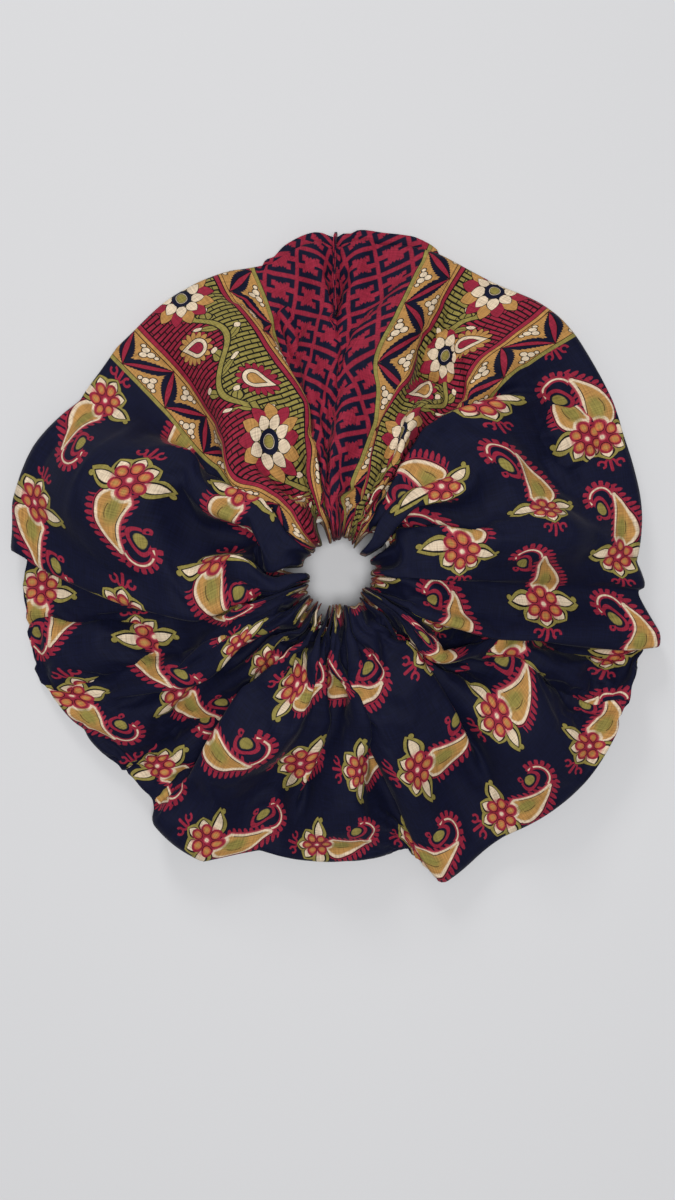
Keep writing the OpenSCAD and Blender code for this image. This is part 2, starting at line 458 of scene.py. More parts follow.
def evened(directions, reach):
    """Directions along a closed line, each averaged over its neighbours to both sides."""
    return unit(sum(np.roll(directions, k, 0) for k in range(-reach, reach + 1)))


def grid_normals(grid):
    """Outward normals of the closed grid."""
    return unit(np.cross(step_past(grid, 1), step_past(grid, 0)))


# ---------------------------------------------------------------- the print, as shader nodes
def srgb(red, green, blue):
    """A colour given as it looks on screen, 0 to 255, as the linear colour that nodes use."""
    def linear(c):
        c /= 255
        return c / 12.92 if c <= 0.04045 else ((c + 0.055) / 1.055) ** 2.4
    return (linear(red), linear(green), linear(blue), 1.0)


NAVY = srgb(13, 16, 40)
DARK = srgb(8, 7, 13)
CRIMSON = srgb(144, 35, 56)
ROSE = srgb(188, 92, 98)
ORANGE = srgb(186, 94, 62)
OCHRE = srgb(178, 132, 74)
OLIVE = srgb(140, 128, 66)
CREAM = srgb(218, 198, 170)


class Value:
    """A number that differs over the cloth: the output of a shader node, with arithmetic."""

    def __init__(self, tree, socket):
        self.tree = tree
        self.socket = socket

    def math(self, operation, *others, clamp=False):
        node = self.tree.nodes.new("ShaderNodeMath")
        node.operation = operation
        node.use_clamp = clamp
        for place, item in zip(node.inputs, (self, *others)):
            if isinstance(item, Value):
                self.tree.links.new(item.socket, place)
            else:
                place.default_value = item
        return Value(self.tree, node.outputs[0])

    __add__ = __radd__ = partialmethod(math, "ADD")
    __sub__ = partialmethod(math, "SUBTRACT")
    __rsub__ = partialmethod(math, "MULTIPLY_ADD", -1.0)
    __mul__ = __rmul__ = partialmethod(math, "MULTIPLY")
    __truediv__ = partialmethod(math, "DIVIDE")
    __neg__ = partialmethod(math, "MULTIPLY", -1.0)
    __abs__ = partialmethod(math, "ABSOLUTE")

    def squared(self):
        return self.math("MULTIPLY", self)

    def limit(self, low, high):
        return self.math("MAXIMUM", low).math("MINIMUM", high)

    def fold(self, period):
        """The same place in a repeat of the given length, from 0 to the period."""
        return self.math("FLOORED_MODULO", period)

    def wave(self, period):
        """Distance from the middle of a repeat of the given length."""
        return abs(self.fold(period) - period / 2)

    def inside(self, soft=0.12):
        """1 where this distance is negative, 0 where it is positive, soft at the edge."""
        return self.math("MULTIPLY_ADD", -1.0 / soft, 0.5, clamp=True)


def either(first, *others):
    """Distance to the nearest of several shapes."""
    for other in others:
        first = first.math("MINIMUM", other)
    return first


def both(first, *others):
    """Distance to what several shapes share."""
    for other in others:
        first = first.math("MAXIMUM", other)
    return first


def size(x, y):
    return (x.squared() + y.squared()).math("SQRT")


def turned(x, y, degrees):
    """The point (x, y) seen from axes that are turned by the given angle."""
    c, s = math.cos(math.radians(degrees)), math.sin(math.radians(degrees))
    return x * c + y * s, y * c - x * s


def bearing(x, y):
    """Angle of the point (x, y) in degrees, from 0 to 360."""
    return (y.math("ARCTAN2", x) * (180 / math.pi)).fold(360.0)


def beside(x, y, start, end):
    """How far the point (x, y) is along and across a line, and the line's length."""
    (ax, ay), (bx, by) = start, end
    along, across = turned(x - ax, y - ay, math.degrees(math.atan2(by - ay, bx - ax)))
    return along, across, math.hypot(bx - ax, by - ay)


def polar(reach, radians):
    return reach * radians.math("COSINE"), reach * radians.math("SINE")


def line(x, y, start, end, radius):
    """Distance to a straight stroke with round ends."""
    along, across, length = beside(x, y, start, end)
    return size(along - along.limit(0.0, length), across) - radius


def leaf_shape(along, across, start, end, half_width):
    """Distance to a leaf that is pointed at both ends."""
    middle, half = (start + end) / 2, (end - start) / 2
    t = (along - middle) * (1 / half)
    return abs(across) + t.squared() * half_width - half_width


def teeth(along, pitch, off, middle, sharp, half_width):
    """Distance to a row of teeth along a line, widest where they are `middle` off it."""
    return along.wave(pitch) + (off - middle).squared() * sharp - half_width


class Paint:
    """Colour laid on colour, one masked layer at a time."""

    def __init__(self, tree, colour):
        self.tree = tree
        node = tree.nodes.new("ShaderNodeRGB")
        node.outputs[0].default_value = colour
        self.socket = node.outputs[0]

    def fill(self, colour, distance, soft=0.12):
        """Lay a colour where the distance is negative."""
        self.lay(colour, distance.inside(soft))

    def outlined(self, colour, distance, edge):
        """A shape with a dark line of the given width round it."""
        self.fill(DARK, distance - edge)
        self.fill(colour, distance)

    def lay(self, colour, mask):
        node = self.tree.nodes.new("ShaderNodeMix")
        node.data_type = "RGBA"
        factor, first, second = node.inputs[0], node.inputs[6], node.inputs[7]
        self.tree.links.new(mask.socket, factor)
        self.tree.links.new(self.socket, first)
        if isinstance(colour, Paint):
            self.tree.links.new(colour.socket, second)
        else:
            second.default_value = colour
        self.socket = node.outputs[2]


# One paisley repeat, in mm: x runs towards the tail and y towards the ring's opening, with
# the flower at 0, 0
REPEAT_LENGTH = 42.0
ROW_SPACING = 29.5
FIRST_FLOWER = (97.0, 9.0)
SHRINK = 1.08   # the motifs are drawn this much larger than they are printed
BODY_START, BODY_END = (8.7, -1.8), (23.2, 1.2)
TAIL_CENTRE, TAIL_R = (21.8, 6.7), 4.6
DROP_CENTRE = (18.2, 7.6)


def paisley(paint, x, y, grain):
    """Ochre comma with a cream edge and a crimson fringe, curled round a small olive drop."""
    # The body: a tapered capsule whose axis sags towards the rim
    along, across, length = beside(x, y, BODY_START, BODY_END)
    t = (along * (1 / length)).limit(0.0, 1.0)
    across = across + t * (1.0 - t) * 5.2
    capsule = size(along - t * length, across) + t * 4.6 - 5.4
    notch = 2.7 - size(x - 4.1, y)
    body = both(capsule, notch)

    # The tail, most of a turn about its own centre
    tx, ty = x - TAIL_CENTRE[0], y - TAIL_CENTRE[1]
    tail_r = size(tx, ty)
    tail_side = -turned(tx, ty, 18)[0]
    tail = both(abs(tail_r - TAIL_R) - 0.3, tail_side)

    # Fringe: long teeth outside, short ones inside
    low_fringe = both(teeth(along, 2.15, capsule, 1.7, 0.22, 0.78), capsule - 3.3, across, -3.0 - along)
    high_fringe = both(teeth(along + across * 0.3, 1.9, capsule, 1.0, 0.3, 0.62), capsule - 2.1,
                       -across, -4.0 - along, along - 12.5)
    tail_arc = bearing(tx, ty) * (2 * math.pi * (TAIL_R + 1) / 360)
    tail_off = tail_r - TAIL_R
    tail_fringe = both(teeth(tail_arc, 2.2, tail_off, 1.6, 0.2, 0.78), tail_off - 2.8,
                       TAIL_R - tail_r, tail_side - 0.5)
    edges = body - 0.75, tail - 0.75
    paint.fill(CRIMSON, either(low_fringe, high_fringe, tail_fringe, *edges))
    paint.fill(DARK, both(abs(body - 0.28) - 0.13, across))
    paint.fill(ROSE, both(body - 0.35, -across), 0.8)
    paint.fill(CREAM, either(body, tail), 0.25)
    paint.fill(OCHRE, body + 0.95 + grain * 0.4, 0.5)
    paint.fill(DARK, both(abs(body + 1.0) - 0.14, 0.8 - across, 1.0 - along))
    heart = size((x - 10.6) * 0.55, y + 1.4 + (x - 10.6) * 0.05) - 2.3
    paint.fill(OLIVE, heart + grain * 1.5, 1.8)
    paint.fill(DARK, both(abs(heart + 0.2) - 0.1, y + 3.0, 8.5 - x), 0.2)

    # The olive drop, its crimson outline and the hook that the outline ends in
    dx, dy = turned(x - DROP_CENTRE[0], y - DROP_CENTRE[1], 28)
    drop = size(dx * 0.72, dy + dx.squared() * 0.05) - 1.75
    outline = both(abs(drop - 1.25) - 0.5, dy - 1.9)
    hook = abs(size(x - 15.2, y - 9.3) - 0.85) - 0.42
    hook = both(hook, x - 15.9)
    bridge = line(x, y, (20.6, 10.2), (22.4, 11.2), 0.55)
    paint.fill(CRIMSON, either(outline, hook, bridge))
    paint.fill(OLIVE, drop + grain * 0.3, 0.3)


def flower(paint, x, y, grain):
    """Six ochre petals round a pale dot, on a fan of five pointed cream leaves."""
    reach = size(x, y)
    angle = bearing(x, y)
    # Leaves every 50 degrees from 80 to 280, so that none lies over the paisley
    number = ((angle - 180.0) * (1 / 50)).math("ROUND").limit(-2.0, 2.0)
    away = (angle - 180.0 - number * 50.0) * DEGREE
    along, across = polar(reach, away)
    # The first and last leaves are longer, and curl at the tip away from the paisley
    outer = (abs(number) - 1.0).math("MAXIMUM", 0.0)
    way = number * 0.5
    past = (along - 5.5).math("MAXIMUM", 0.0)
    bent = across + past.squared() * outer * way * 0.045
    end = outer * 3.4 + 8.2
    middle, half = (end + 3.0) * 0.5, (end - 3.0) * 0.5
    t = (along - middle) / half
    leaf = abs(bent) + t.squared() * 2.2 - 2.2
    curl = both(size(along - 12.2, across + way * 0.4) - 0.95, 0.5 - outer)
    paint.fill(DARK, either(leaf - 1.75, curl - 0.3))
    paint.fill(OLIVE, either(leaf - 1.4, curl))
    paint.fill(DARK, leaf + 0.05 - (bent * 2.0).limit(0.0, 0.3))
    paint.fill(CREAM, leaf + 0.45 + grain * 0.3, 0.25)
    paint.fill(ROSE, both(leaf + 0.5, reach - 5.6), 1.4)

    sector = angle.wave(60.0)
    petal_turn = (sector - 30.0) * DEGREE
    px, py = polar(reach, petal_turn)
    px = px - 4.0
    petal = size(px * 0.86, py)
    paint.fill(CRIMSON, either(petal - 2.1, reach - 3.4))
    paint.fill(DARK, both(abs(petal - 1.65) - 0.1, px))
    paint.fill(ORANGE, petal - 1.35 + grain * 0.3, 0.4)
    paint.fill(OCHRE, petal - 0.85 + grain * 0.5, 0.8)
    paint.fill(ROSE, reach - 1.15, 0.4)
    paint.fill(CREAM, reach - 0.75, 0.3)


def sprig(paint, x, y):
    """Small crimson ornament behind the flower: a stem with two curls."""
    stem = line(x, y, (-9.2, 0.0), (-13.0, 0.0), 0.55)
    bar = abs(size(x + 10.4, y) - 1.7) - 0.4
    bar = both(bar, -10.4 - x)
    side = abs(y) - 3.1
    curls = abs(size(x + 10.6, side) - 1.25) - 0.42
    curls = both(curls, either(side, -10.9 - x))
    paint.fill(CRIMSON, either(stem, bar, curls))


def field_print(tree, u, v, grain):
    """Half-drop rows of paisleys on navy."""
    below, behind = 14.0, 13.5
    across = v - (FIRST_FLOWER[1] - below)
    row = (across * (1 / ROW_SPACING)).math("FLOOR")
    y = across.fold(ROW_SPACING) - below
    shifted = u - (FIRST_FLOWER[0] - behind) + row * (REPEAT_LENGTH / 2)
    x = shifted.fold(REPEAT_LENGTH) - behind
    x, y = x * SHRINK, y * SHRINK
    paint = Paint(tree, NAVY)
    paisley(paint, x, y, grain)
    sprig(paint, x, y)
    flower(paint, x, y, grain)
    return paint


# Border bands, by distance in mm from the end of the cloth
KEY_END = 29.0
FIRST_ZIGZAG = (30.4, 40.4)
VINE = (43.6, 70.6)
SECOND_ZIGZAG = (73.8, 83.8)
BORDER_END = 85.2


def key_panel(tree, e, v):
    """Crimson ground with a slanted lattice of navy keys, two to a cell."""
    # Lattice steps in mm: (9, -6.2) and (4.1, 8.6)
    area = 9.0 * 8.6 + 6.2 * 4.1
    a = (e * (8.6 / area) - v * (4.1 / area)).fold(1.0) - 0.5
    b = (e * (6.2 / area) + v * (9.0 / area)).fold(1.0) - 0.5
    # The second key is the first turned half round
    flip = b.math("SIGN")
    a, b = a * flip, b * flip

    def bar(a0, a1, b0, b1):
        return both(abs(a - (a0 + a1) / 2) - (a1 - a0) / 2, abs(b - (b0 + b1) / 2) - (b1 - b0) / 2)

    ragged = (a * 9.0).wave(1.0) * 0.12
    key = either(bar(-0.44, 0.44, 0.28, 0.43), bar(-0.44, -0.29, -0.02, 0.43),
                 bar(-0.33, -0.17, -0.02, 0.10), bar(0.28, 0.44, 0.16, 0.43))
    key = either(key, both(abs(a) - 0.16, 0.2 + ragged - b, b - 0.35))
    paint = Paint(tree, CRIMSON)
    paint.fill(NAVY, key, 0.03)
    return paint


def zigzag_band(paint, e, v, low, high):
    """Dark leaves that zigzag between ochre triangles with clusters of cream beads."""
    period, skew = 19.0, 0.42
    middle, half = (low + high) / 2, (high - low) / 2
    across = (e - middle) * (1 / half)
    t = (v + across * half * skew).fold(period) * (1 / period)
    rise = 1.0 - abs(t - 0.5) * 4.0
    gap = across - rise
    slant = period / 4 / math.hypot(period / 4, half) * half
    off = abs(gap) * slant
    rough = (v + e * 0.6).wave(0.9) * 0.9
    fat = (1.0 - across.squared()) * 2.5 + 0.2
    leaf = off - fat + rough
    # Each triangle has its base on the side that its two leaves open towards
    side = gap.math("SIGN")
    base = ((t + side * 0.25 + 0.25).fold(1.0) - 0.5) * period
    down = half - across * side * half
    beads = either(size(abs(base) - 1.15, down - 1.5) - 1.0, size(base, down - 3.2) - 0.95,
                   size(abs(base) - 2.9, down - 1.0) - 0.6)
    tile = Paint(paint.tree, OCHRE)
    tile.outlined(CREAM, beads, 0.28)
    tile.fill(NAVY, leaf)
    tile.fill(DARK, off - fat * 0.30 - 0.15)
    tile.fill(CRIMSON, off - fat * 0.30 + 0.08)
    paint.fill(tile, abs(e - middle) - half)


# Things on the vine band, in mm: how far along one repeat they are, and how far off its middle
VINE_REPEAT = 56.0
DAISY = (4.0, -1.5)
CRIMSON_DROP = (23.0, 4.2)
OCHRE_DROP = (41.0, -5.0)


def daisy(paint, x, y):
    """Cream petals round an olive eye, on larger petals of crimson and ochre by turns."""
    reach = size(x, y)
    angle = bearing(x, y)
    outer = angle.wave(30.0) * DEGREE * reach + (reach - 7.4).squared() * 0.22 - 2.1
    outer = both(outer, 3.0 - reach)
    every_second = (angle.fold(60.0) - 30.0) * 0.2
    paint.outlined(CRIMSON, outer, 0.3)
    paint.fill(OCHRE, both(outer, every_second))
    inner = (angle + 10.0).wave(45.0) * DEGREE * reach
    inner = inner + (reach - 4.9).squared() * 0.35 - 1.75
    paint.fill(DARK, both(inner - 0.3, reach - 7.2))
    paint.fill(CREAM, inner)
    paint.fill(NAVY, reach - 3.1)
    paint.fill(CREAM, reach - 1.75)
    paint.fill(DARK, reach - 1.6)
    paint.fill(OLIVE, reach - 1.45)


def medallion(paint, x, y, degrees, heart, petals):
    """Drop with a cream edge, inside a ring of small petals."""
    dx, dy = turned(x, y, degrees)
    # Round at one end, with straight sides that meet in a point at the other
    taper = 0.5
    round_part = size(dx, dy)
    sides = dx * taper + abs(dy) * math.sqrt(1 - taper ** 2)
    reach = sides + (round_part - sides) * (dx - round_part * taper).inside(0.02)
    scallop = bearing(dx - 1.2, dy).wave(24.0)
    edge = size((dx - 1.2) * 0.88, dy) - 5.5 + scallop.squared() * 0.012
    paint.outlined(petals, edge, 0.35)
    paint.fill(DARK, both(11.2 - scallop, edge))
    paint.fill(DARK, reach - 3.4)
    paint.fill(CREAM, reach - 3.1)
    paint.fill(DARK, reach - 2.0)
    paint.fill(heart, reach - 1.75)


def vine_band(paint, e, v, low, high):
    """Rungs of olive and crimson on dark, a winding stem, daisies and drop medallions."""
    middle = (low + high) / 2
    x = e - middle
    t = (v + 8.0).fold(VINE_REPEAT) - 8.0
    winding = ((t - 32.0) * (1 / 18)).limit(-1.0, 1.0) * math.pi
    stem = x - winding.math("SINE") * 5.6
    rung = v.wave(1.6) - 0.52
    row = (v * (1 / 1.6)).math("FLOOR")
    joint = 0.16 - (x + row * 1.7).wave(4.4)
    rung = both(rung, joint)
    tile = Paint(paint.tree, DARK)
    tile.fill(OLIVE, both(rung, stem))
    tile.fill(CRIMSON, both(rung, -stem))

    # Leaves on stalks to both sides of the stem
    side = stem.math("SIGN")
    spot = (v + side * 2.4).fold(9.6) - 4.8
    lx, ly = turned(abs(stem) - 0.4, spot, -38)
    leaf = leaf_shape(lx, ly, 0.0, 5.6, 1.15)
    tile.outlined(OLIVE, leaf, 0.35)
    tile.fill(DARK, both(abs(ly) - 0.1, leaf + 0.4))
    bud = leaf_shape(*turned(abs(stem) - 3.2, spot + 3.4, -20), 0.0, 2.6, 0.8)
    tile.outlined(CREAM, bud, 0.3)
    tile.fill(DARK, abs(stem) * 0.74 - 1.0)
    tile.fill(OLIVE, abs(stem) * 0.74 - 0.68)

    daisy(tile, x - DAISY[1], t - DAISY[0])
    medallion(tile, x - CRIMSON_DROP[1], t - CRIMSON_DROP[0], -35, CRIMSON, OCHRE)
    medallion(tile, x - OCHRE_DROP[1], t - OCHRE_DROP[0], 140, OCHRE, CRIMSON)
    paint.fill(tile, abs(x) - (high - low) / 2)


def border_print(tree, e, v):
    """All the bands of the border, by distance e from the end of the cloth."""
    paint = key_panel(tree, e, v)

    def stripes(start, *steps):
        for colour, width in steps:
            paint.fill(colour, start - e)
            start += width

    stripes(KEY_END, (DARK, 0.2), (OLIVE, 1.1), (DARK, 0.2))
    zigzag_band(paint, e, v, *FIRST_ZIGZAG)
    stripes(FIRST_ZIGZAG[1], (DARK, 0.2), (OCHRE, 0.9), (DARK, 0.35), (CRIMSON, 1.3), (DARK, 0.5))
    vine_band(paint, e, v, *VINE)
    stripes(VINE[1], (DARK, 0.4), (CRIMSON, 1.3), (DARK, 0.2), (OCHRE, 1.0), (DARK, 0.3))
    zigzag_band(paint, e, v, *SECOND_ZIGZAG)
    stripes(SECOND_ZIGZAG[1], (DARK, 0.2), (OLIVE, 1.2))
    return paint


def cloth_place(tree):
    """Cloth coordinates: the socket that gives them in m, then u and v in mm."""
    where = tree.nodes.new("ShaderNodeUVMap")
    where.uv_map = "cloth"
    split = tree.nodes.new("ShaderNodeSeparateXYZ")
    tree.links.new(where.outputs[0], split.inputs[0])
    u, v = (Value(tree, split.outputs[k]) * 1000.0 for k in range(2))
    return where.outputs[0], u, v


def add_bump(tree, height, strength, distance):
    bump = tree.nodes.new("ShaderNodeBump")
    bump.inputs["Strength"].default_value = strength
    bump.inputs["Distance"].default_value = distance
    tree.links.new(height.socket, bump.inputs["Height"])
    tree.links.new(bump.outputs[0], tree.nodes["Principled BSDF"].inputs["Normal"])


THREAD_PITCH = 0.42


def cloth_material():
    """The printed cloth: its print, uneven threads and plain weave."""
    material, shader = new_material("printed_cloth", {
        "Roughness": 0.68, "Sheen Weight": 0.04, "Sheen Roughness": 0.4, "Specular IOR Level": 0.12})
    tree = material.node_tree
    nodes, links = tree.nodes, tree.links
    where, u, v = cloth_place(tree)

    def noise(scale_u, scale_v, detail):
        """Smooth noise from -0.5 to 0.5, with the given number of cells to the metre."""
        stretch = nodes.new("ShaderNodeMapping")
        stretch.inputs["Scale"].default_value = (scale_u, scale_v, 1.0)
        links.new(where, stretch.inputs["Vector"])
        texture = nodes.new("ShaderNodeTexNoise")
        texture.inputs["Scale"].default_value = 1.0
        texture.inputs["Detail"].default_value = detail
        links.new(stretch.outputs[0], texture.inputs["Vector"])
        return Value(tree, texture.outputs[0]) - 0.5

    grain = noise(900.0, 900.0, 2.0)
    threads = noise(2600.0, 160.0, 1.0) + noise(160.0, 2600.0, 1.0)

    e = u.math("MINIMUM", CLOTH_LENGTH - u)
    paint = field_print(tree, u, v, grain)
    paint.lay(border_print(tree, e, v), (e - BORDER_END).inside())
    # Threads that took the dye unevenly
    worn = nodes.new("ShaderNodeHueSaturation")
    links.new(paint.socket, worn.inputs["Color"])
    links.new((threads * 0.9 + 1.0).socket, worn.inputs["Value"])
    links.new(worn.outputs[0], shader.inputs["Base Color"])

    weft, warp = ((place * (2 * math.pi / THREAD_PITCH)).math("SINE") for place in (u, v))
    add_bump(tree, weft * warp * 0.5 + threads, 0.35, 0.0001)
    return material


def thread_material(name, colour):
    """Two-ply thread: fine slanted bands along its length, from its "cloth" coordinates, painted darker
    in the grooves between the plies as painted shade.
    """
    material, shader = new_material(name, {
        "Roughness": 0.55, "Sheen Weight": 0.2, "Specular IOR Level": 0.3})
    tree = material.node_tree
    _, along, around = cloth_place(tree)
    ply = abs(((along * 3.0 + around) * math.pi).math("SINE"))
    # Painted shade: the colour falls to 0.6 in the grooves between the plies and is full on their tops
    groove_shaded_tone = Paint(tree, tuple(c * 0.6 for c in colour[:3]) + (1.0,))
    groove_shaded_tone.lay(colour, ply)
    tree.links.new(groove_shaded_tone.socket, shader.inputs["Base Color"])
    return material


def elastic_material():
    """White braided elastic: ribs along its length, crossed by fine slanted threads, with painted shade
    in the grooves between them.
    """
    material, shader = new_material("braided_elastic", {
        "Roughness": 0.7, "Sheen Weight": 0.3, "Specular IOR Level": 0.3})
    tree = material.node_tree
    _, along, across = cloth_place(tree)
    ribs = (across * math.pi).math("SINE")
    slant = abs(((along + ribs.math("SIGN") * across * 0.6) * (math.pi / 0.7)).math("SINE"))
    relief = (abs(ribs) + 0.25) * (slant * 0.5 + 0.5)
    # Painted shade: darker in the grooves and lighter on the ribs, from the same relief as the bump
    groove_shaded_tone = Paint(tree, srgb(186, 183, 176))
    groove_shaded_tone.lay(srgb(238, 236, 230), relief.limit(0.0, 1.0))
    tree.links.new(groove_shaded_tone.socket, shader.inputs["Base Color"])
    add_bump(tree, relief, 0.6, 0.0002)
    return material


def together(*parts):
    """Arrays spread to one shape, as the coordinates of points."""
    return np.stack(np.broadcast_arrays(*parts), -1)


def columns_in(span, columns):
    """Columns of the closed grid in a span given in mm along the cloth."""
    first, last = (round(end / CLOTH_LENGTH * columns) for end in span)
    return np.arange(first, last + 1) % columns


def make_piece(name, points, faces, corner_uv, material, nodes, normals=None):
    """A mesh piece that stands for CAD nodes, which it hides.

    Points are in mm, and corner_uv gives each face corner's cloth coordinates in mm.
    """
    mesh = bpy.data.meshes.new(name)
    mesh.from_pydata((points.reshape(-1, 3) * MM).tolist(), [], faces.tolist())
    mesh.uv_layers.new(name="cloth").data.foreach_set(
        "uv", (corner_uv * MM).reshape(-1).astype(np.float32))
    mesh.materials.append(material)
    mesh.shade_smooth()
    if normals is not None:
        mesh.normals_split_custom_set_from_vertices(normals.reshape(-1, 3).tolist())
    piece = link(bpy.data.objects.new(name, mesh))
    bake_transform(piece)
    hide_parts(*nodes)
    return piece


def ring_faces(count, around):
    """Quads of a solid drawn as a row of closed rings, with both ends capped."""
    ring, corner = np.meshgrid(np.arange(count - 1), np.arange(around), indexing="ij")
    beside = (corner + 1) % around
    sides = np.stack([ring * around + corner, ring * around + beside,
                      (ring + 1) * around + beside, (ring + 1) * around + corner], -1)
    i = np.arange(around // 2 - 1)
    cap = np.stack([i, around - 1 - i, around - 2 - i, i + 1], -1)
    last = (count - 1) * around + cap[:, ::-1]
    return np.concatenate([sides.reshape(-1, 4), cap, last])


def outward(points, faces):
    """The faces, turned over if they face into the solid that they enclose."""
    a, b, c, d = (points[faces[:, k]] for k in range(4))
    volume = (np.cross(c - a, d - b) * (a + b + c + d)).sum()
    return faces if volume > 0 else faces[:, ::-1]


def make_solid(name, rings, uv, material, nodes):
    """A piece from solids of rings: axes are solid, ring along it, point round it, x y z."""
    solids, count, around = rings.shape[:3]
    points = rings.reshape(solids, -1, 3)
    base = ring_faces(count, around)
    faces = np.concatenate([outward(p, base) + i * count * around for i, p in enumerate(points)])
    return make_piece(name, points, faces, uv.reshape(-1, 2)[faces], material, nodes)


SIXTHS = np.arange(6) * math.pi / 3


def thread_rings(centre, side, up, radius):
    """Six points round each point on the middle line of a thread."""
    turn = SIXTHS[:, None]
    return centre[..., None, :] + radius * (side[..., None, :] * np.cos(turn)
                                            + up[..., None, :] * np.sin(turn))


def stitches(line, up, thick=0.35, length=3.0, pitch=4.0):
    """Rings of a row of stitches along a line, each rising out of the cloth and back in."""
    s = np.concatenate([[0], np.cumsum(np.linalg.norm(np.diff(line, axis=0), axis=1))])
    steps = np.linspace(0, 1, 7)
    where = np.arange(0.5, s[-1] - length, pitch)[:, None] + length * steps

    def at(values):
        return np.stack([np.interp(where, s, values[:, k]) for k in range(3)], -1)

    lift = unit(at(up))
    arch = np.sqrt(np.sin(math.pi * steps))
    centre = at(line) + lift * (thick * (0.7 * arch - 0.3))[:, None]
    side = unit(np.cross(np.gradient(centre, axis=1), lift))
    radius = (thick / 2 * (0.4 + 0.6 * arch))[:, None, None]
    rings = thread_rings(centre, side, lift, radius)
    return rings, together(where[..., None], SIXTHS * thick / 2)


def cloth_strip(middle, across, thick):
    """Rings of a strip of cloth from points (along, over its width) and its thin direction."""
    offset = across * (thick / 2)
    rings = np.concatenate([middle + offset, (middle - offset)[:, ::-1]], 1)
    return rings[None]


# ---------------------------------------------------------------- the pieces
def make_cover(grid, normals, girth, material):
    """The cloth tube, as eight stretches of one strip that meet without a seam."""
    rows, columns = grid.shape[:2]
    names = ["top_left", "upper_left", "lower_left", "bottom_left",
             "bottom_right", "lower_right", "upper_right", "top_right"]
    wide = columns // len(names)
    row, column = np.meshgrid(np.arange(rows), np.arange(wide), indexing="ij")
    row, column = row[..., None], column[..., None]
    rise, run = np.array([0, 0, 1, 1]), np.array([0, 1, 1, 0])
    faces = ((row + rise) % rows * (wide + 1) + column + run).reshape(-1, 4)
    made = []
    for i, name in enumerate(names):
        chosen = np.arange(i * wide, (i + 1) * wide + 1)
        u = (column + run + i * wide) / columns * CLOTH_LENGTH
        v = np.broadcast_to((row + rise) / rows * girth, u.shape)
        made.append(make_piece(
            "cover_cloth_" + name, grid[:, chosen % columns], faces, np.stack([u, v], -1),
            material, ["cover_" + name],
            normals[:, chosen % columns]))
    return made


SEAM_WIDTH = 5.0    # of the turned-in edges
PLY = 0.3           # thickness of one layer of cloth


def make_closing_seam(grid, girth, cloth, thread):
    """The two ends of the cloth, turned in beside each other, and the thread through them."""
    loop = grid[:, 0]
    inward = evened(unit(np.cross([1.0, 0.0, 0.0], step_past(loop, steps=3))), 3)
    # The edges reach well under half of the way to the other side of the tube
    apart = loop[None] - loop[:, None]
    distance = np.linalg.norm(apart, axis=-1)
    facing = (apart * inward[:, None]).sum(-1) > 0.75 * distance
    room = np.where(facing & (distance > 1.0), distance, 100.0).min(1)
    room = np.stack([np.roll(room, k) for k in range(-5, 6)]).min(0)
    width = np.minimum(SEAM_WIDTH, 0.38 * room)[:, None]
    closed = np.arange(len(loop) + 1) % len(loop)
    v = np.arange(len(loop) + 1) / len(loop) * girth
    steps = np.linspace(0.25, 1.0, 4)
    profile = np.concatenate([steps, steps[::-1]]) * SEAM_WIDTH
    pieces = []
    for name, way in (("right", 1), ("left", -1)):
        x = np.array([way, 0.0, 0.0])
        middle = loop[:, None] + inward[:, None] * (width * steps)[..., None] + x * PLY * 0.8
        rings = cloth_strip(middle[closed], x, PLY)
        rings[..., 2] = np.maximum(rings[..., 2], 0.1)
        pieces.append(make_solid("closing_seam_edge_cloth_" + name, rings,
                                 together(-way * profile, v[:, None]), cloth,
                                 ["closing_seam_edge_" + name]))
    x = np.array([1.0, 0.0, 0.0])
    line = loop + inward * np.minimum(width, 2 * 1.2) / 2 + x * PLY * 1.3
    rings, uv = stitches(line[closed], np.broadcast_to(x, line[closed].shape))
    make_solid("closing_seam_stitches", rings, uv, thread, ["closing_seam_thread"])
    return pieces


def make_rim_seam(grid, spans, cloth, thread):
    """Both long edges of the cloth, turned in along the rim, and the thread through them."""
    columns = grid.shape[1]
    deep = range(1, 5)
    above = np.stack([grid[k] for k in deep], 1)
    below = np.stack([grid[-k] for k in deep], 1)
    middle, gap = (above + below) / 2, above - below
    thick = np.minimum(2 * PLY, 0.35 * np.linalg.norm(gap, axis=-1, keepdims=True))
    up = unit(gap)
    pieces = []
    for name, span in spans.items():
        part = columns_in(span, columns)
        rings = cloth_strip(middle[part], up[part], thick[part])
        u = np.linspace(*span, len(part))[:, None]
        uv = together(u, np.array([*deep, *reversed(deep)]) * SEAM_WIDTH / 4)
        pieces.append(make_solid("rim_seam_edge_cloth_" + name, rings, uv, cloth,
                                 ["rim_seam_edge_" + name]))
        line = middle[part, 1] + up[part, 1] * thick[part, 1] / 2
        rings, uv = stitches(line, up[part, 1], thick=0.25)
        make_solid("rim_seam_stitches_" + name, rings, uv, thread,
                   ["rim_seam_thread_" + name])
    return pieces


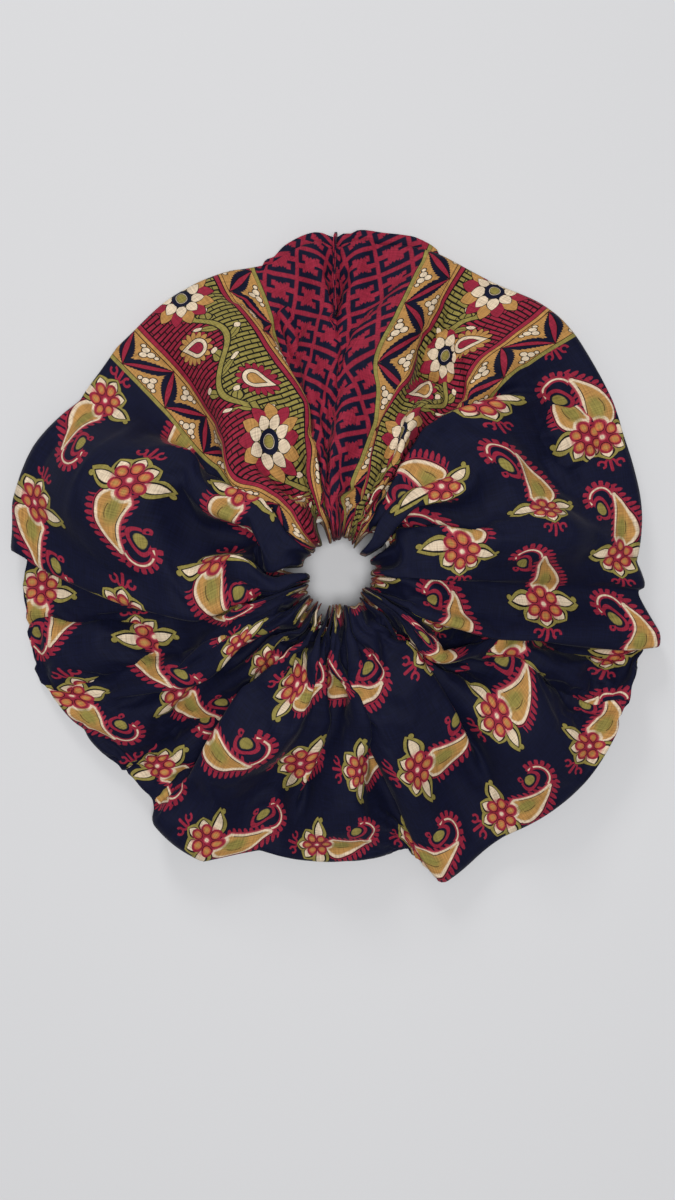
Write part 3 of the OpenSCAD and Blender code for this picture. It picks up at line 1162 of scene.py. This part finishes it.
def make_lip(grid, spans, cloth, thread):
    """The doubled edge that closes the turning opening, and the light stitches along it."""
    columns = grid.shape[1]
    inner = (grid[5] + grid[-5]) / 2
    outwards = unit(grid[0] - inner)
    outwards[:, 2] = np.maximum(outwards[:, 2], 0)
    outwards = evened(outwards, 6)
    up = evened(unit(np.cross(outwards, -step_past(grid[0]))), 6)
    # Cross-section: how far out and how far up, with a round outer edge
    profile = np.array([(-0.8, 0.35), (1.2, 0.42), (2.7, 0.4), (3.2, 0.22),
                        (3.2, -0.22), (2.7, -0.4), (1.2, -0.42), (-0.8, -0.35)])
    pieces = []
    for name, span in spans.items():
        part = columns_in(span, columns)
        base = grid[0, part][:, None]
        u = np.linspace(*span, len(part))[:, None]
        # The lip runs out into the rim at the end away from the closing seam
        from_end = np.abs(u - (span[0] if name == "right" else span[1]))
        taper = np.sqrt(np.clip(from_end / 9, 0, 1))[..., None]
        rings = (base + outwards[part][:, None] * profile[:, :1] * taper
                 + up[part][:, None] * profile[:, 1:])[None]
        uv = together(u, -profile[:, 0])
        pieces.append(make_solid("opening_lip_cloth_" + name, rings, uv, cloth,
                                 ["opening_lip_" + name]))
        line = grid[0, part] + outwards[part] * 1.0 + up[part] * 0.42
        rings, uv = stitches(line, up[part], thick=0.45)
        make_solid("opening_topstitch_stitches_" + name, rings, uv, thread,
                   ["opening_topstitch_" + name])
    return pieces


# The lap of the elastic, in degrees from +X: where the under end starts and the upper one ends
LAP = (46.2, 82.0)
LAP_GAP = 0.05      # between the two ends
# The bar tacks: how many, points to a tack, how far each zigzags to both sides, its thread's
# radius, and its length as a share of the elastic's width
TACKS = 4
TACK_POINTS = 41
TACK_SWING = 0.45
TACK_THREAD_R = 0.15
TACK_LENGTH = 0.76


def make_elastic(material):
    """One flat strip bent round to a loop, with its ends lapped."""
    degrees = np.linspace(LAP[0], LAP[1] + 360, 300)
    step_out = np.clip((degrees - (LAP[0] + 335)) / 20, 0, 1)
    radius = ELASTIC_R + (ELASTIC_T + LAP_GAP) * step_out ** 2 * (3 - 2 * step_out)
    half_w, half_t = ELASTIC_W / 2, ELASTIC_T / 2
    profile = np.array([(half_t - 0.2, half_w), (half_t, half_w - 0.3), (half_t, 0.3 - half_w),
                        (half_t - 0.2, -half_w), (0.2 - half_t, -half_w),
                        (-half_t, 0.3 - half_w), (-half_t, half_w - 0.3),
                        (0.2 - half_t, half_w)])
    turn = np.radians(degrees)[:, None]
    reach = radius[:, None] + profile[:, 0]
    rings = together(reach * np.cos(turn), reach * np.sin(turn), ELASTIC_Z + profile[:, 1])
    uv = together(turn * ELASTIC_R, profile[:, 1] + half_w)
    return make_solid("elastic_loop", rings[None], uv, material,
                      ["elastic_right", "elastic_left"])


def make_tacks(thread):
    """Bar tacks through the lap, each a zigzag of thread down the outer face."""
    tacks = []
    point = np.arange(TACK_POINTS)
    down = np.linspace(0.5, -0.5, TACK_POINTS) * TACK_LENGTH * ELASTIC_W
    zigzag = TACK_SWING * (2 * np.abs((point / 4) % 1 * 2 - 1) - 1)
    face = ELASTIC_R + 1.5 * ELASTIC_T + LAP_GAP
    for share in (np.arange(TACKS) + 0.5) / TACKS:
        angle = np.radians(LAP[1] + (LAP[0] - LAP[1]) * share) + zigzag / face
        out = together(np.cos(angle), np.sin(angle), 0.0)
        centre = out * (face + 0.12) + together(0.0, 0.0, ELASTIC_Z + down)
        side = unit(np.cross(np.gradient(centre, axis=0), out))
        tacks.append(thread_rings(centre, side, out, TACK_THREAD_R))
    uv = together(point[:, None] * TACK_SWING, SIXTHS * TACK_THREAD_R)
    make_solid("elastic_lap_stitches", np.stack(tacks), np.stack([uv] * TACKS), thread,
               ["elastic_lap_tacks"])


# ---------------------------------------------------------------- the scene
make_camera()
make_studio()
section = Section(at_throat=2.2, at_rim=5.0)
points = place_cloth(section, *fold_cloth(section))
points[..., 2] = np.maximum(points[..., 2], 0.6)
points = settle(points)
grid = doubled(doubled(points, 0), 1)
grid[..., 2] = np.maximum(grid[..., 2], 0.15)
normals = grid_normals(grid)

printed_cloth = cloth_material()
dark_thread = thread_material("dark_thread", srgb(30, 30, 48))
light_thread = thread_material("light_thread", srgb(230, 220, 196))

# Along the cloth from the closing seam, in mm: the lip of the turning opening on both sides
# of the seam, and the rim seam that closes the rest
LIP_SPANS = {"right": (CLOTH_LENGTH - 33.0, CLOTH_LENGTH), "left": (0.0, 26.5)}
SEAM_SPANS = {"right": (CLOTH_LENGTH / 2 + 1, CLOTH_LENGTH - 90), "left": (90.0, CLOTH_LENGTH / 2)}

cover = make_cover(grid, normals, section.girth, printed_cloth)
closing = make_closing_seam(grid, section.girth, printed_cloth, dark_thread)
rim = make_rim_seam(grid, SEAM_SPANS, printed_cloth, dark_thread)
lip = make_lip(grid, LIP_SPANS, printed_cloth, light_thread)
elastic = make_elastic(elastic_material())
make_tacks(light_thread)
